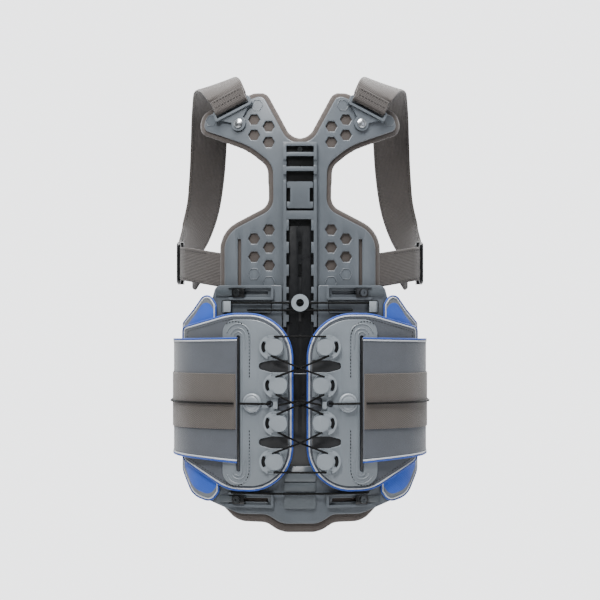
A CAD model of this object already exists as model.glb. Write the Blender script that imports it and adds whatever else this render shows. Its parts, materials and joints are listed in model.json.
"""Looks of the back brace: fabrics, cords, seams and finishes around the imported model."""
import json
import logging
import math
from dataclasses import dataclass, field
from enum import Enum
from typing import Optional, Sequence

import bpy
import numpy as np
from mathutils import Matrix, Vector


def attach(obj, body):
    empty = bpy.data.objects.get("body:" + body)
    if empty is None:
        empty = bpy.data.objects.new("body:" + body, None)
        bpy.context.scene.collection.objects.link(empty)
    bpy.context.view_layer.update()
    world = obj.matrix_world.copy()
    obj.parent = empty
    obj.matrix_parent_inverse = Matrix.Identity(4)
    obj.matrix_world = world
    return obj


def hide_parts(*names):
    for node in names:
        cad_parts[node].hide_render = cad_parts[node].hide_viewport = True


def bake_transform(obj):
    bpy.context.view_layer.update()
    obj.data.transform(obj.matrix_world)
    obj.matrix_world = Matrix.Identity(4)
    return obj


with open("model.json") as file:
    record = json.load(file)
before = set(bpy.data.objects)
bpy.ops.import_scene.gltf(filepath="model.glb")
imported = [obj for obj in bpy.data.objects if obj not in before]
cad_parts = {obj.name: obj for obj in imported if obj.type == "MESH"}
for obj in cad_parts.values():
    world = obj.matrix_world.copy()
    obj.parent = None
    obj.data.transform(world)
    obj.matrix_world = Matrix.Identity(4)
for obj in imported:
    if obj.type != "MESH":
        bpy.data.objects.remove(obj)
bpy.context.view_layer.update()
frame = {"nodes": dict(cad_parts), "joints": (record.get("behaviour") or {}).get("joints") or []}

LOG = logging.getLogger("back_brace")
MM = 0.001
SIDES = (("right", 1.0), ("left", -1.0))


# ---- colours and shader nodes -----------------------------------------------------------------

def linear(code: str) -> tuple[float, float, float, float]:
    """Turn an sRGB hex colour into linear RGBA.

    Args:
        code: six hex digits, with or without a leading hash.

    Returns:
        Linear red, green and blue with an alpha of one.
    """
    code = code.lstrip("#")
    srgb = [int(code[i:i + 2], 16) / 255 for i in (0, 2, 4)]
    lin = [c / 12.92 if c <= 0.04045 else ((c + 0.055) / 1.055) ** 2.4 for c in srgb]
    return (lin[0], lin[1], lin[2], 1.0)


class Graph:
    """Node tree of a material or a world, and the shader that it ends in."""

    def __init__(self, owner: bpy.types.ID, shader: str = "Principled BSDF") -> None:
        """Switch the owner's nodes on and find its shader.

        Args:
            owner: the material or world.
            shader: name of the shader that its tree ends in.
        """
        self.owner = owner
        owner.use_nodes = True
        self.nodes = owner.node_tree.nodes
        self.links = owner.node_tree.links
        self.shader = self.nodes[shader]

    def fill(self, node: bpy.types.Node, inputs: dict[str, object]) -> None:
        """Set or link a node's inputs.

        Args:
            node: the node.
            inputs: values or sockets by input name, or i0, i1 and so on by position.
        """
        for key, value in inputs.items():
            socket = node.inputs[int(key[1:]) if key[1:].isdigit() else key.replace("_", " ")]
            if isinstance(value, bpy.types.NodeSocket):
                self.links.new(value, socket)
            else:
                socket.default_value = value

    def add(self, kind: str, settings: Optional[dict] = None, **inputs: object) -> bpy.types.Node:
        """Add a node with its settings and links.

        Args:
            kind: the node's type name without its ShaderNode prefix.
            settings: attributes of the node, such as its operation.
            inputs: what fill takes, with underscores for the spaces in names.

        Returns:
            The new node.
        """
        node = self.nodes.new("ShaderNode" + kind)
        for key, value in (settings or {}).items():
            setattr(node, key, value)
        self.fill(node, inputs)
        return node

    def set(self, **inputs: object) -> None:
        """Set or link inputs of the shader by name, with underscores for spaces."""
        self.fill(self.shader, inputs)


class Weave(Enum):
    """How a cloth's threads run."""

    TWILL = "twill"
    RIB = "rib"
    KNIT = "knit"


@dataclass(frozen=True)
class Plastic:
    """Injection-moulded plastic with a fine spark-eroded grain."""

    name: str
    colour: str
    roughness: float = 0.42
    grain_mm: float = 0.9
    grain_depth: float = 0.12
    mottle: float = 0.10
    outer: Optional[tuple[float, str]] = None

    def build(self) -> bpy.types.Material:
        """Make the material: mottled colour, uneven gloss and a grained skin."""
        g = Graph(bpy.data.materials.new(self.name))
        where = g.add("TexCoord").outputs["Object"]
        # Noise scales are in cells a metre: clouds of about 36 mm and scuffs of about 6 mm.
        cloud = g.add("TexNoise", Vector=where, Scale=28.0, Detail=4.0)
        scuff = g.add("TexNoise", Vector=where, Scale=160.0, Detail=6.0, Roughness=0.7)
        base = np.array(linear(self.colour))
        ramp = g.add("ValToRGB", Fac=cloud.outputs["Fac"])
        ramp.color_ramp.elements[0].position = 0.3
        ramp.color_ramp.elements[1].position = 0.75
        ramp.color_ramp.elements[0].color = (*(base[:3] * (1 - self.mottle)), 1)
        ramp.color_ramp.elements[1].color = (*(base[:3] * (1 + self.mottle)), 1)
        colour = ramp.outputs["Color"]
        if self.outer:
            # A second shot of plastic beyond this distance from the symmetry plane.
            x = g.add("SeparateXYZ", Vector=where).outputs["X"]
            far = g.add("Math", {"operation": "ABSOLUTE"}, i0=x).outputs[0]
            beyond = g.add("Math", {"operation": "GREATER_THAN"}, i0=far, i1=self.outer[0] * MM)
            # Inputs 6 and 7 and output 2 are this node's colours.
            colour = g.add("Mix", {"data_type": "RGBA"}, Factor=beyond.outputs[0], i6=colour,
                           i7=linear(self.outer[1])).outputs[2]
        gloss = g.add("MapRange", Value=scuff.outputs["Fac"], To_Min=self.roughness - 0.07,
                      To_Max=self.roughness + 0.12)
        grain = g.add("TexNoise", Vector=where, Scale=1.0 / (self.grain_mm * MM), Detail=2.0)
        bump = g.add("Bump", Strength=self.grain_depth, Distance=0.0004, Height=grain.outputs["Fac"])
        g.set(Base_Color=colour, Roughness=gloss.outputs["Result"],
              Normal=bump.outputs["Normal"], IOR=1.5)
        return g.owner


@dataclass(frozen=True)
class Metal:
    """Turned and zinc-plated steel."""

    name: str
    colour: str
    roughness: float = 0.28

    def build(self) -> bpy.types.Material:
        """Make the material: a metal with faint turning marks."""
        g = Graph(bpy.data.materials.new(self.name))
        where = g.add("TexCoord").outputs["Object"]
        # Turning marks about 1 mm apart, coarser than real ones so that they show.
        marks = g.add("TexNoise", Vector=where, Scale=900.0, Detail=3.0)
        gloss = g.add("MapRange", Value=marks.outputs["Fac"], To_Min=self.roughness - 0.06,
                      To_Max=self.roughness + 0.1)
        bump = g.add("Bump", Strength=0.1, Distance=0.0002, Height=marks.outputs["Fac"])
        g.set(Base_Color=linear(self.colour), Metallic=1.0, Roughness=gloss.outputs["Result"],
              Normal=bump.outputs["Normal"])
        return g.owner


@dataclass(frozen=True)
class Cloth:
    """Woven or knitted textile whose threads follow the piece's own UV map, in metres."""

    name: str
    colour: str
    thread_mm: float = 1.0
    weave: Weave = Weave.KNIT
    depth: float = 0.5
    contrast: float = 0.22
    roughness: float = 0.85
    sheen: float = 0.25
    ior: float = 1.45
    bands: tuple[tuple[float, str], ...] = ()

    def threads(self, g: Graph) -> bpy.types.NodeSocket:
        """Height of the threads, from sine bands along U and V.

        Args:
            g: the material's graph.

        Returns:
            Socket with a height from zero to one.
        """
        uv = g.add("UVMap").outputs["UV"]
        # A band texture repeats every 2*pi/20 of its scaled coordinate, so this scale gives thread_mm.
        scale = 2 * math.pi / 20 / (self.thread_mm * MM)
        turn = {Weave.TWILL: math.radians(38), Weave.KNIT: math.radians(45)}.get(self.weave, 0.0)
        aim = g.add("Mapping", Vector=uv, Rotation=(0.0, 0.0, turn)).outputs["Vector"]
        weft, warp = (g.add("TexWave", {"bands_direction": axis}, Vector=aim, Scale=scale, Distortion=0.4,
                            Detail=1.0, Detail_Scale=2.0).outputs["Fac"] for axis in "XY")
        if self.weave is Weave.RIB:
            soft = g.add("Math", {"operation": "MULTIPLY"}, i0=weft, i1=0.35).outputs[0]
            return g.add("Math", {"operation": "MULTIPLY_ADD"}, i0=warp, i1=0.65, i2=soft).outputs[0]
        return g.add("Math", {"operation": "MULTIPLY"}, i0=weft, i1=warp).outputs[0]

    def build(self) -> bpy.types.Material:
        """Make the material: threads in the relief, darker gaps, slow fading and a soft sheen."""
        g = Graph(bpy.data.materials.new(self.name))
        height = self.threads(g)
        where = g.add("TexCoord").outputs["Object"]
        # Fading in clouds of about 45 mm, and fuzz of about 0.7 mm.
        fade = g.add("TexNoise", Vector=where, Scale=22.0, Detail=5.0, Roughness=0.65).outputs["Fac"]
        fuzz = g.add("TexNoise", Vector=where, Scale=1400.0, Detail=2.0).outputs["Fac"]
        value = g.add("MapRange", Value=height, To_Min=1 - self.contrast, To_Max=1 + self.contrast * 0.6)
        shade = g.add("MapRange", Value=fade, From_Min=0.3, From_Max=0.7, To_Min=0.88, To_Max=1.1)
        tone = g.add("Math", {"operation": "MULTIPLY"}, i0=value.outputs[0], i1=shade.outputs[0])
        colour = self.colour_socket(g)
        tinted = g.add("VectorMath", {"operation": "SCALE"}, i0=colour, Scale=tone.outputs[0])
        rough = g.add("MapRange", Value=fuzz, To_Min=self.roughness - 0.08,
                      To_Max=min(1.0, self.roughness + 0.08))
        lint = g.add("Math", {"operation": "MULTIPLY_ADD"}, i0=fuzz, i1=0.25, i2=height)
        bump = g.add("Bump", Strength=self.depth, Distance=0.0006, Height=lint.outputs[0])
        g.set(Base_Color=tinted.outputs[0], Roughness=rough.outputs[0], Normal=bump.outputs["Normal"],
              Sheen_Weight=self.sheen, Sheen_Roughness=0.5, IOR=self.ior)
        return g.owner

    def colour_socket(self, g: Graph) -> object:
        """Colour of the yarn: one dye, or bands of dye by the distance from the piece's edge.

        Args:
            g: the material's graph.

        Returns:
            A colour, or the socket of a colour ramp over the edge attribute.
        """
        if not self.bands:
            return linear(self.colour)[:3]
        edge = g.add("Attribute", {"attribute_name": "edge_mm"}).outputs["Fac"]
        span = 40.0  # the ramp's length, in millimetres from the edge
        ramp = g.add("ValToRGB", Fac=g.add("Math", {"operation": "DIVIDE"}, i0=edge, i1=span).outputs[0])
        ramp.color_ramp.interpolation = "CONSTANT"
        ramp.color_ramp.elements[0].color = linear(self.bands[0][1])
        ramp.color_ramp.elements.remove(ramp.color_ramp.elements[1])
        for start, code in self.bands[1:]:
            ramp.color_ramp.elements.new(start / span).color = linear(code)
        return ramp.outputs["Color"]


# Moulded glass-filled nylon: a satin blue-grey shell with a fine grain.
SHELL = Plastic("moulded_nylon_shell", "#494e53", roughness=0.36)
# The same nylon in a near-black dye, for the rail and the handles: dark with a soft highlight.
DARK = Plastic("moulded_nylon_dark", "#0d0e10", roughness=0.28)
# The lacing plates' nylon, a lighter batch of the shell's dye.
PLATE = Plastic("moulded_nylon_plate", "#646a6f", roughness=0.34)
# Moulded acetal of the small guides: mid-grey, a little glossier because cords polish it.
GUIDE = Plastic("moulded_acetal_guide", "#747a7f", roughness=0.3, mottle=0.06)
# Nylon of the recess floors: between the shell and the dark parts, and duller than both.
RECESS = Plastic("moulded_nylon_recess", "#464b4f", roughness=0.4)
# Black moulded acetal: smooth and deep, with a tight highlight.
BLACK = Plastic("moulded_acetal_black", "#08090a", roughness=0.27, mottle=0.05)
# Black sliding block moulded onto a grey foot: two flat colours with a sharp line between them.
BLOCK = Plastic("two_shot_acetal_block", "#08090a", roughness=0.28, mottle=0.05, outer=(79.0, "#3a3f43"))
# Zinc-plated steel of the rivets: bright and a little streaked from turning.
STEEL = Metal("zinc_plated_steel", "#b4b8bb")
# Black-oxide cap screws of the sliding blocks and the channel: grey, with a darker shine.
DARK_STEEL = Metal("black_oxide_steel", "#55585a", roughness=0.3)
# Brushed-knit lining over foam: warm taupe, soft and matt.
LINING = Cloth("brushed_knit_lining", "#3b3430", thread_mm=1.5, weave=Weave.KNIT, depth=0.35)
# Polyester webbing: coarse ribs across the strap.
WEBBING = Cloth("woven_polyester_webbing", "#342f2c", thread_mm=1.7, weave=Weave.RIB, depth=0.8)
# Elastic band: a slanting mesh of threads, drawn coarser than the real 0.8 mm so that it shows.
ELASTIC = Cloth("woven_elastic_band", "#46403b", thread_mm=1.6, weave=Weave.KNIT, depth=0.8, contrast=0.2)
# Laminated spacer fabric of the belts: blue-grey with a fine twill.
BELT = Cloth("laminated_spacer_fabric", "#43474e", thread_mm=1.1, weave=Weave.TWILL, depth=0.4)
# The wings' spacer fabric: a grey band along the edge and a blue middle.
WING = Cloth("dyed_spacer_fabric_wing", "#1c58b4", thread_mm=1.4, weave=Weave.KNIT, depth=0.4,
             bands=((0.0, "#5c6167"), (7.5, "#1048ac")))
# Satin piping in two dyes: smoother and shinier than the fabric it edges.
BLUE_PIPING = Cloth("satin_piping_blue", "#173f92", thread_mm=0.9, weave=Weave.TWILL, roughness=0.6,
                    sheen=0.05)
WHITE_PIPING = Cloth("satin_piping_white", "#b4b8be", thread_mm=0.9, weave=Weave.TWILL, roughness=0.6,
                     sheen=0.05)
# Flat dark knit seen through the lacing plates' windows and behind the channel's foot.
DARK_KNIT = Cloth("dark_backing_knit", "#1f2022", thread_mm=1.2, weave=Weave.KNIT, depth=0.3)
# Braided polyester cord, dyed black: hardly any shine, so that it reads as a dark line.
CORD = Cloth("braided_polyester_cord", "#020202", thread_mm=0.8, weave=Weave.KNIT, depth=0.8,
             roughness=0.5, sheen=0.0, ior=1.22)
# Bonded nylon thread: dark and smooth, drawn with the twist of its plies.
DARK_THREAD = Cloth("bonded_nylon_thread_dark", "#0f0e0e", thread_mm=0.5, weave=Weave.TWILL,
                    roughness=0.5, sheen=0.0, ior=1.3)


class Finishes:
    """Materials made once and shared by the pieces."""

    made: dict[str, bpy.types.Material] = {}

    @classmethod
    def of(cls, finish: object) -> bpy.types.Material:
        """The material of a finish, made when it is first asked for.

        Args:
            finish: the finish.

        Returns:
            Its material.
        """
        if finish.name not in cls.made:
            cls.made[finish.name] = finish.build()
        return cls.made[finish.name]

    @classmethod
    def dress(cls, obj: bpy.types.Object, finish: object) -> None:
        """Give a piece or a CAD node one finish all over.

        Args:
            obj: the piece.
            finish: its finish.
        """
        material = cls.of(finish)
        if not obj.data.materials:
            obj.data.materials.append(material)
        for slot in obj.material_slots:
            slot.material = material


# ---- the torso's surface ----------------------------------------------------------------------

@dataclass(frozen=True)
class Torso:
    """Surface that every layer of the brace is an offset of, in millimetres."""

    back_r: float = 190.0
    back_half: float = math.radians(35.4)
    side_r: float = 45.0
    corner_r: float = 70.0
    corner_y: float = 25.0
    front_r: float = 190.0
    lean_z: float = 400.0
    lean_r: float = 520.0
    flare_z: float = 40.0
    flare_r: float = 320.0

    @property
    def side_x(self) -> float:
        """Distance of the side arc's centre from the symmetry plane."""
        return (self.back_r - self.side_r) * math.sin(self.back_half)

    @property
    def back_y(self) -> float:
        """Centre of the back arc."""
        return (self.back_r - self.side_r) * math.cos(self.back_half)

    @property
    def corner_x(self) -> float:
        """Distance of the front corner arc's centre from the symmetry plane."""
        return self.side_x + self.side_r - self.corner_r

    @property
    def front_half(self) -> float:
        """Half angle of the front arc."""
        return math.asin(self.corner_x / (self.front_r - self.corner_r))

    @property
    def front_y(self) -> float:
        """Centre of the front arc."""
        return self.corner_y - (self.front_r - self.corner_r) * math.cos(self.front_half)

    def frame(self, s: np.ndarray) -> tuple[np.ndarray, np.ndarray]:
        """Points and outward normals of the bare section.

        The section is five tangent stretches: an arc, a smaller arc, a straight, an arc and an arc.
        Each stretch turns the normal by its length over its radius.

        Args:
            s: distance along the section from the back's centre, positive towards +X.

        Returns:
            Points (..., 2) and normals (..., 2) in the XY plane.
        """
        sign = np.where(s < 0, -1.0, 1.0)
        d = np.abs(s)
        turns = (self.back_half, math.pi / 2 - self.back_half, 0.0,
                 math.pi / 2 - self.front_half, self.front_half)
        radii = (self.back_r, self.side_r, 0.0, self.corner_r, self.front_r)
        spans = [t * r for t, r in zip(turns, radii)]
        spans[2] = self.corner_y
        centres = ((0.0, self.back_y), (self.side_x, 0.0), (0.0, 0.0),
                   (self.corner_x, self.corner_y), (0.0, self.front_y))
        x = np.zeros_like(d)
        y = np.zeros_like(d)
        a = np.zeros_like(d)
        start = 0.0
        angle = 0.0
        for turn, r, span, (cx, cy) in zip(turns, radii, spans, centres):
            inside = (d >= start) if start == 0.0 else (d > start)
            run = d - start
            if r == 0.0:
                x = np.where(inside, self.side_x + self.side_r, x)
                y = np.where(inside, run, y)
                a = np.where(inside, angle, a)
            else:
                here = angle + run / r
                x = np.where(inside, cx + r * np.sin(here), x)
                y = np.where(inside, cy - r * np.cos(here), y)
                a = np.where(inside, here, a)
            start += span
            angle += turn
        points = np.stack([x * sign, y], -1)
        normals = np.stack([np.sin(a) * sign, -np.cos(a)], -1)
        return points, normals

    def lift(self, z: np.ndarray, off: np.ndarray) -> np.ndarray:
        """Offset with the lean above lean_z and the flare below flare_z added.

        Args:
            z: heights.
            off: the layer's offsets.

        Returns:
            Distances from the bare section.
        """
        up = np.clip(z - self.lean_z, 0.0, None)
        down = np.clip(self.flare_z - z, 0.0, None)
        lean = np.sqrt((self.lean_r + off) ** 2 - up ** 2) - self.lean_r
        flare = self.flare_r - np.sqrt((self.flare_r - off) ** 2 - down ** 2)
        return np.where(up > 0, lean, flare)

    def point(self, s: np.ndarray, z: np.ndarray, off: np.ndarray) -> np.ndarray:
        """Points at section distance s, height z and offset off, in metres.

        Args:
            s: section distances in millimetres.
            z: heights in millimetres.
            off: offsets in millimetres.

        Returns:
            Points (..., 3).
        """
        s, z, off = np.broadcast_arrays(np.asarray(s, float), np.asarray(z, float), np.asarray(off, float))
        base, normal = self.frame(s)
        xy = base + normal * self.lift(z, off)[..., None]
        return np.concatenate([xy, z[..., None]], -1) * MM

    def along(self, x: np.ndarray, off: float, front: bool = False) -> np.ndarray:
        """Section distance at which a layer passes x, on the back or on the front.

        Args:
            x: distance from the symmetry plane.
            off: the layer's offset.
            front: whether the front crossing is meant.

        Returns:
            Section distances with the sign of x.
        """
        table = np.linspace(0.0, self.half_length, 3000)
        base, normal = self.frame(table)
        reach = base[:, 0] + normal[:, 0] * off
        widest = int(reach.argmax())
        if front:
            return np.sign(x + 1e-9) * np.interp(np.abs(x), reach[widest:][::-1], table[widest:][::-1])
        return np.sign(x + 1e-9) * np.interp(np.abs(x), reach[:widest], table[:widest])

    def at(self, x: float, off: float, front: bool = False) -> float:
        """Section distance at which a layer passes one x."""
        return float(self.along(np.array([x]), off, front)[0])

    @property
    def half_length(self) -> float:
        """Half of the bare section's girth."""
        return (self.back_half * self.back_r + (math.pi / 2 - self.back_half) * self.side_r + self.corner_y
                + (math.pi / 2 - self.front_half) * self.corner_r + self.front_half * self.front_r)


TORSO = Torso()


# ---- mesh building ----------------------------------------------------------------------------

def make_mesh(name: str, verts: np.ndarray, faces: np.ndarray, uv: Optional[np.ndarray] = None,
              attributes: Optional[dict[str, np.ndarray]] = None, smooth: bool = True) -> bpy.types.Object:
    """Put arrays into a new mesh object.

    Args:
        name: the piece's name.
        verts: points (n, 3) in metres.
        faces: quads (m, 4), where a repeated last corner stands for a triangle.
        uv: texture coordinates (n, 2) in metres, one per point.
        attributes: further numbers, one per point.
        smooth: whether faces are shaded smooth.

    Returns:
        The object, at the origin.
    """
    faces = np.asarray(faces)
    tri = faces[:, 2] == faces[:, 3]
    sizes = np.where(tri, 3, 4)
    corners = faces[np.arange(4)[None, :] < sizes[:, None]]
    mesh = bpy.data.meshes.new(name)
    mesh.vertices.add(len(verts))
    mesh.vertices.foreach_set("co", np.ascontiguousarray(verts, np.float32).ravel())
    mesh.loops.add(len(corners))
    mesh.loops.foreach_set("vertex_index", corners.astype(np.int32))
    mesh.polygons.add(len(faces))
    starts = np.concatenate([[0], np.cumsum(sizes)[:-1]]).astype(np.int32)
    mesh.polygons.foreach_set("loop_start", starts)
    if uv is not None:
        layer = mesh.uv_layers.new(name="UVMap")
        layer.uv.foreach_set("vector", np.ascontiguousarray(uv[corners], np.float32).ravel())
    for key, values in (attributes or {}).items():
        mesh.attributes.new(key, "FLOAT", "POINT").data.foreach_set("value", values.astype(np.float32))
    mesh.update(calc_edges=True)
    mesh.validate()
    mesh.polygons.foreach_set("use_smooth", np.full(len(faces), smooth))
    obj = bpy.data.objects.new(name, mesh)
    bpy.context.scene.collection.objects.link(obj)
    return obj


def unit(vectors: np.ndarray) -> np.ndarray:
    """Vectors along the last axis, each divided by its length."""
    return vectors / np.linalg.norm(vectors, axis=-1, keepdims=True)


def even_points(curve: np.ndarray, count: int, closed: bool = False) -> np.ndarray:
    """Points at even arc lengths along a finely drawn curve.

    Args:
        curve: points (n, dims), ending where it starts if it joins up.
        count: how many points to return.
        closed: whether the curve joins up.

    Returns:
        Points (count, dims).
    """
    run = np.concatenate([[0], np.cumsum(np.linalg.norm(np.diff(curve, axis=0), axis=1))])
    at = np.linspace(0, run[-1], count, endpoint=not closed)
    return np.stack([np.interp(at, run, column) for column in curve.T], -1)


def grid_faces(rows: int, cols: int, wrap_rows: bool = False, wrap_cols: bool = False) -> np.ndarray:
    """Quads of a rows by cols grid, joined at the ends where it wraps.

    Args:
        rows: points one way.
        cols: points the other way.
        wrap_rows: whether the last row joins the first.
        wrap_cols: whether the last column joins the first.

    Returns:
        Quads (m, 4).
    """
    i = np.arange(rows if wrap_rows else rows - 1)
    j = np.arange(cols if wrap_cols else cols - 1)
    i, j = np.meshgrid(i, j, indexing="ij")
    a = i * cols + j
    b = i * cols + (j + 1) % cols
    c = ((i + 1) % rows) * cols + (j + 1) % cols
    d = ((i + 1) % rows) * cols + j
    return np.stack([a, b, c, d], -1).reshape(-1, 4)


def outward(verts: np.ndarray, faces: np.ndarray) -> np.ndarray:
    """Faces turned so that the closed mesh's signed volume is positive.

    Args:
        verts: points (n, 3).
        faces: quads (m, 4).

    Returns:
        The same quads, or all of them turned over.
    """
    p = verts[faces]
    volume = (np.einsum("ij,ij->i", p[:, 0], np.cross(p[:, 1], p[:, 2])).sum()
              + np.einsum("ij,ij->i", p[:, 0], np.cross(p[:, 2], p[:, 3])).sum())
    if volume >= 0:
        return faces
    flipped = faces[:, ::-1].copy()
    tri = faces[:, 2] == faces[:, 3]
    flipped[tri] = faces[tri][:, [2, 1, 0, 0]]
    return flipped


def loft(name: str, sections: np.ndarray, closed: bool = False,
         attributes: Optional[dict[str, np.ndarray]] = None) -> bpy.types.Object:
    """Closed surface through a row of closed sections.

    Each section is a loop of points. Neighbouring loops are joined by quads, and the first and last
    loops are closed by strips between their two halves unless the row itself is closed.

    Args:
        name: the piece's name.
        sections: points (n, k, 3) in metres, k even.
        closed: whether the last section joins the first.
        attributes: numbers (n, k) to store on the points.

    Returns:
        The new object.
    """
    n, k, _ = sections.shape
    verts = sections.reshape(-1, 3)
    faces = [grid_faces(n, k, wrap_rows=closed, wrap_cols=True)]
    if not closed:
        j = np.arange(k // 2 - 1)
        for row, flip in ((0, False), (n - 1, True)):
            cap = np.stack([j, k - 1 - j, k - 2 - j, j + 1], -1) + row * k
            faces.append(cap[:, ::-1] if flip else cap)
    faces = np.concatenate(faces)
    run = np.linalg.norm(np.diff(sections.mean(1), axis=0), axis=1)
    u = np.concatenate([[0.0], np.cumsum(run)])
    around = np.linalg.norm(np.diff(sections[n // 2], axis=0, append=sections[n // 2][:1]), axis=1)
    v = np.concatenate([[0.0], np.cumsum(around)[:-1]])
    v = np.minimum(v, around.sum() - v)
    uv = np.stack(np.meshgrid(u, v, indexing="ij"), -1).reshape(-1, 2)
    flat = {key: value.reshape(-1) for key, value in (attributes or {}).items()}
    return make_mesh(name, verts, outward(verts, faces), uv, flat)


def tube(name: str, path: np.ndarray, radius: float, closed: bool = False,
         sides: int = 12) -> bpy.types.Object:
    """Round tube along a path.

    The ring at each point lies in the plane square to the path: two directions there are kept from
    twisting by measuring them against one fixed direction.

    Args:
        name: the piece's name.
        path: points (n, 3) in metres.
        radius: radius in metres.
        closed: whether the path joins up.
        sides: points in a ring.

    Returns:
        The new object.
    """
    ahead = np.roll(path, -1, 0) - np.roll(path, 1, 0)
    if not closed:
        ahead[0] = path[1] - path[0]
        ahead[-1] = path[-1] - path[-2]
    t = unit(ahead)
    hint = np.array([0.06, 1.0, 0.11])  # a direction that no path here runs along
    a = unit(np.cross(t, hint))
    b = np.cross(t, a)
    turn = np.linspace(0, 2 * math.pi, sides, endpoint=False)
    ring = a[:, None] * np.cos(turn)[None, :, None] + b[:, None] * np.sin(turn)[None, :, None]
    return loft(name, path[:, None] + ring * radius, closed)


def smooth_path(points: Sequence[Sequence[float]], count: int) -> np.ndarray:
    """Even points on a smooth curve through hand-placed points.

    Between two points the curve is the Catmull-Rom cubic of them and their neighbours.

    Args:
        points: the hand-placed points.
        count: how many points to return.

    Returns:
        Points (count, dims).
    """
    p = np.asarray(points, float)
    q = np.concatenate([2 * p[:1] - p[1:2], p, 2 * p[-1:] - p[-2:-1]])
    spans = len(q) - 3
    t = np.linspace(0, spans, spans * 24 + 1)
    i = np.minimum(t.astype(int), spans - 1)
    f = (t - i)[:, None]
    a, b, c, d = q[i], q[i + 1], q[i + 2], q[i + 3]
    fine = 0.5 * (2 * b + (c - a) * f + (2 * a - 5 * b + 4 * c - d) * f ** 2
                  + (3 * b - a - 3 * c + d) * f ** 3)
    return even_points(fine, count)


def rounded_outline(corners: Sequence[tuple[float, float, float]], count: int = 240) -> np.ndarray:
    """Even points round a polygon whose corners are arcs.

    Each corner (x, z, radius) is cut back by radius over the tangent of half its angle, and the arc
    between the cuts is worked out about the corner circle's centre.

    Args:
        corners: corners in order, in millimetres.
        count: how many points to return.

    Returns:
        Points (count, 2).
    """
    pieces = []
    p = np.array([(x, z) for x, z, _ in corners], float)
    for i, (_, _, r) in enumerate(corners):
        u = unit(p[i - 1] - p[i])
        w = unit(p[(i + 1) % len(p)] - p[i])
        half = math.acos(float(np.clip(u @ w, -1, 1))) / 2
        if r <= 0:
            pieces.append(p[i][None])
            continue
        centre = p[i] + unit(u + w) * r / math.sin(half)
        start = p[i] + u * r / math.tan(half) - centre
        end = p[i] + w * r / math.tan(half) - centre
        f = np.linspace(0, 1, 24)[:, None]
        span = math.pi - 2 * half
        pieces.append(centre + (np.sin((1 - f) * span) * start + np.sin(f * span) * end) / math.sin(span))
    return even_points(np.concatenate(pieces + [pieces[0][:1]]), count, closed=True)


def side_outline(corners: Sequence[tuple[float, float, float]], sign: float, count: int) -> np.ndarray:
    """Rounded outline of a right-hand piece, mirrored for the left side with its direction kept."""
    outline = rounded_outline(corners, count) * np.array([sign, 1.0])
    return outline[::-1] if sign < 0 else outline


def inset(outline: np.ndarray, distance: float) -> np.ndarray:
    """Outline moved inwards by a distance along its own normals.

    Args:
        outline: points (n, 2) in order.
        distance: how far, in millimetres.

    Returns:
        Points (n, 2).
    """
    ahead = unit(np.roll(outline, -1, 0) - np.roll(outline, 1, 0))
    normal = np.stack([-ahead[:, 1], ahead[:, 0]], -1)
    x, z = outline.T
    area = 0.5 * np.sum(x * np.roll(z, -1) - np.roll(x, -1) * z)
    return outline + normal * distance * np.sign(area)


def on_torso(outline: np.ndarray, off: float, front: bool = False) -> np.ndarray:
    """Points of an XZ outline laid on the torso at one offset, in metres."""
    return TORSO.point(TORSO.along(outline[:, 0], off, front), outline[:, 1], off)


@dataclass
class PadShape:
    """Soft pad with a round edge over the torso: a disc-like grid mapped into an outline."""

    name: str
    outline: np.ndarray
    low: float
    high: float
    edge: float
    rings: int
    front: bool = False

    def build(self) -> bpy.types.Object:
        """Make the pad.

        Rings run from the middle out to the outline on the outer face and back on the inner face. A
        ring's distance from the edge sets its thickness: a quarter circle within the edge width, then
        flat.

        Returns:
            The new object, with the distance from the edge stored in edge_mm.
        """
        height = self.outline[:, 1]
        centre = np.array([self.outline[:, 0].mean(), (height.min() + height.max()) / 2])
        reach = np.linalg.norm(self.outline - centre, axis=1)
        spread = np.linspace(0.02, 1.0, self.rings) ** 0.6
        spokes = centre + spread[:, None, None] * (self.outline - centre)[None]
        inward = (1 - spread)[:, None] * reach[None]
        depth = np.clip(inward / self.edge, 0, 1)
        swell = np.sqrt(1 - (1 - depth) ** 2)
        middle = (self.low + self.high) / 2
        half = (self.high - self.low) / 2
        s = TORSO.along(spokes[..., 0], middle, self.front)
        outer = TORSO.point(s, spokes[..., 1], middle + half * swell)
        inner = TORSO.point(s, spokes[..., 1], middle - half * swell)
        loops = np.concatenate([outer, inner[-2::-1]])
        n, k, _ = loops.shape
        verts = loops.reshape(-1, 3)
        ends = np.stack([outer[0].mean(0), inner[0].mean(0)])
        verts = np.concatenate([verts, ends])
        j = np.arange(k)
        first = np.stack([np.full(k, n * k), j, (j + 1) % k, (j + 1) % k], -1)
        last = np.stack([np.full(k, n * k + 1), (n - 1) * k + (j + 1) % k, (n - 1) * k + j,
                         (n - 1) * k + j], -1)
        faces = np.concatenate([grid_faces(n, k, wrap_cols=True)[:, ::-1], first, last])
        flat_s = np.concatenate([s, s[-2::-1]]).reshape(-1) * MM
        flat_z = np.concatenate([spokes[..., 1], spokes[-2::-1, :, 1]]).reshape(-1) * MM
        uv = np.stack([flat_s, flat_z], -1)
        uv = np.concatenate([uv, np.repeat(uv[:k].mean(0)[None], 2, 0)])
        edge = np.concatenate([inward, inward[-2::-1]]).reshape(-1)
        edge = np.concatenate([edge, [reach.min(), reach.min()]])
        return make_mesh(self.name, verts, outward(verts, faces), uv, {"edge_mm": edge})


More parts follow.
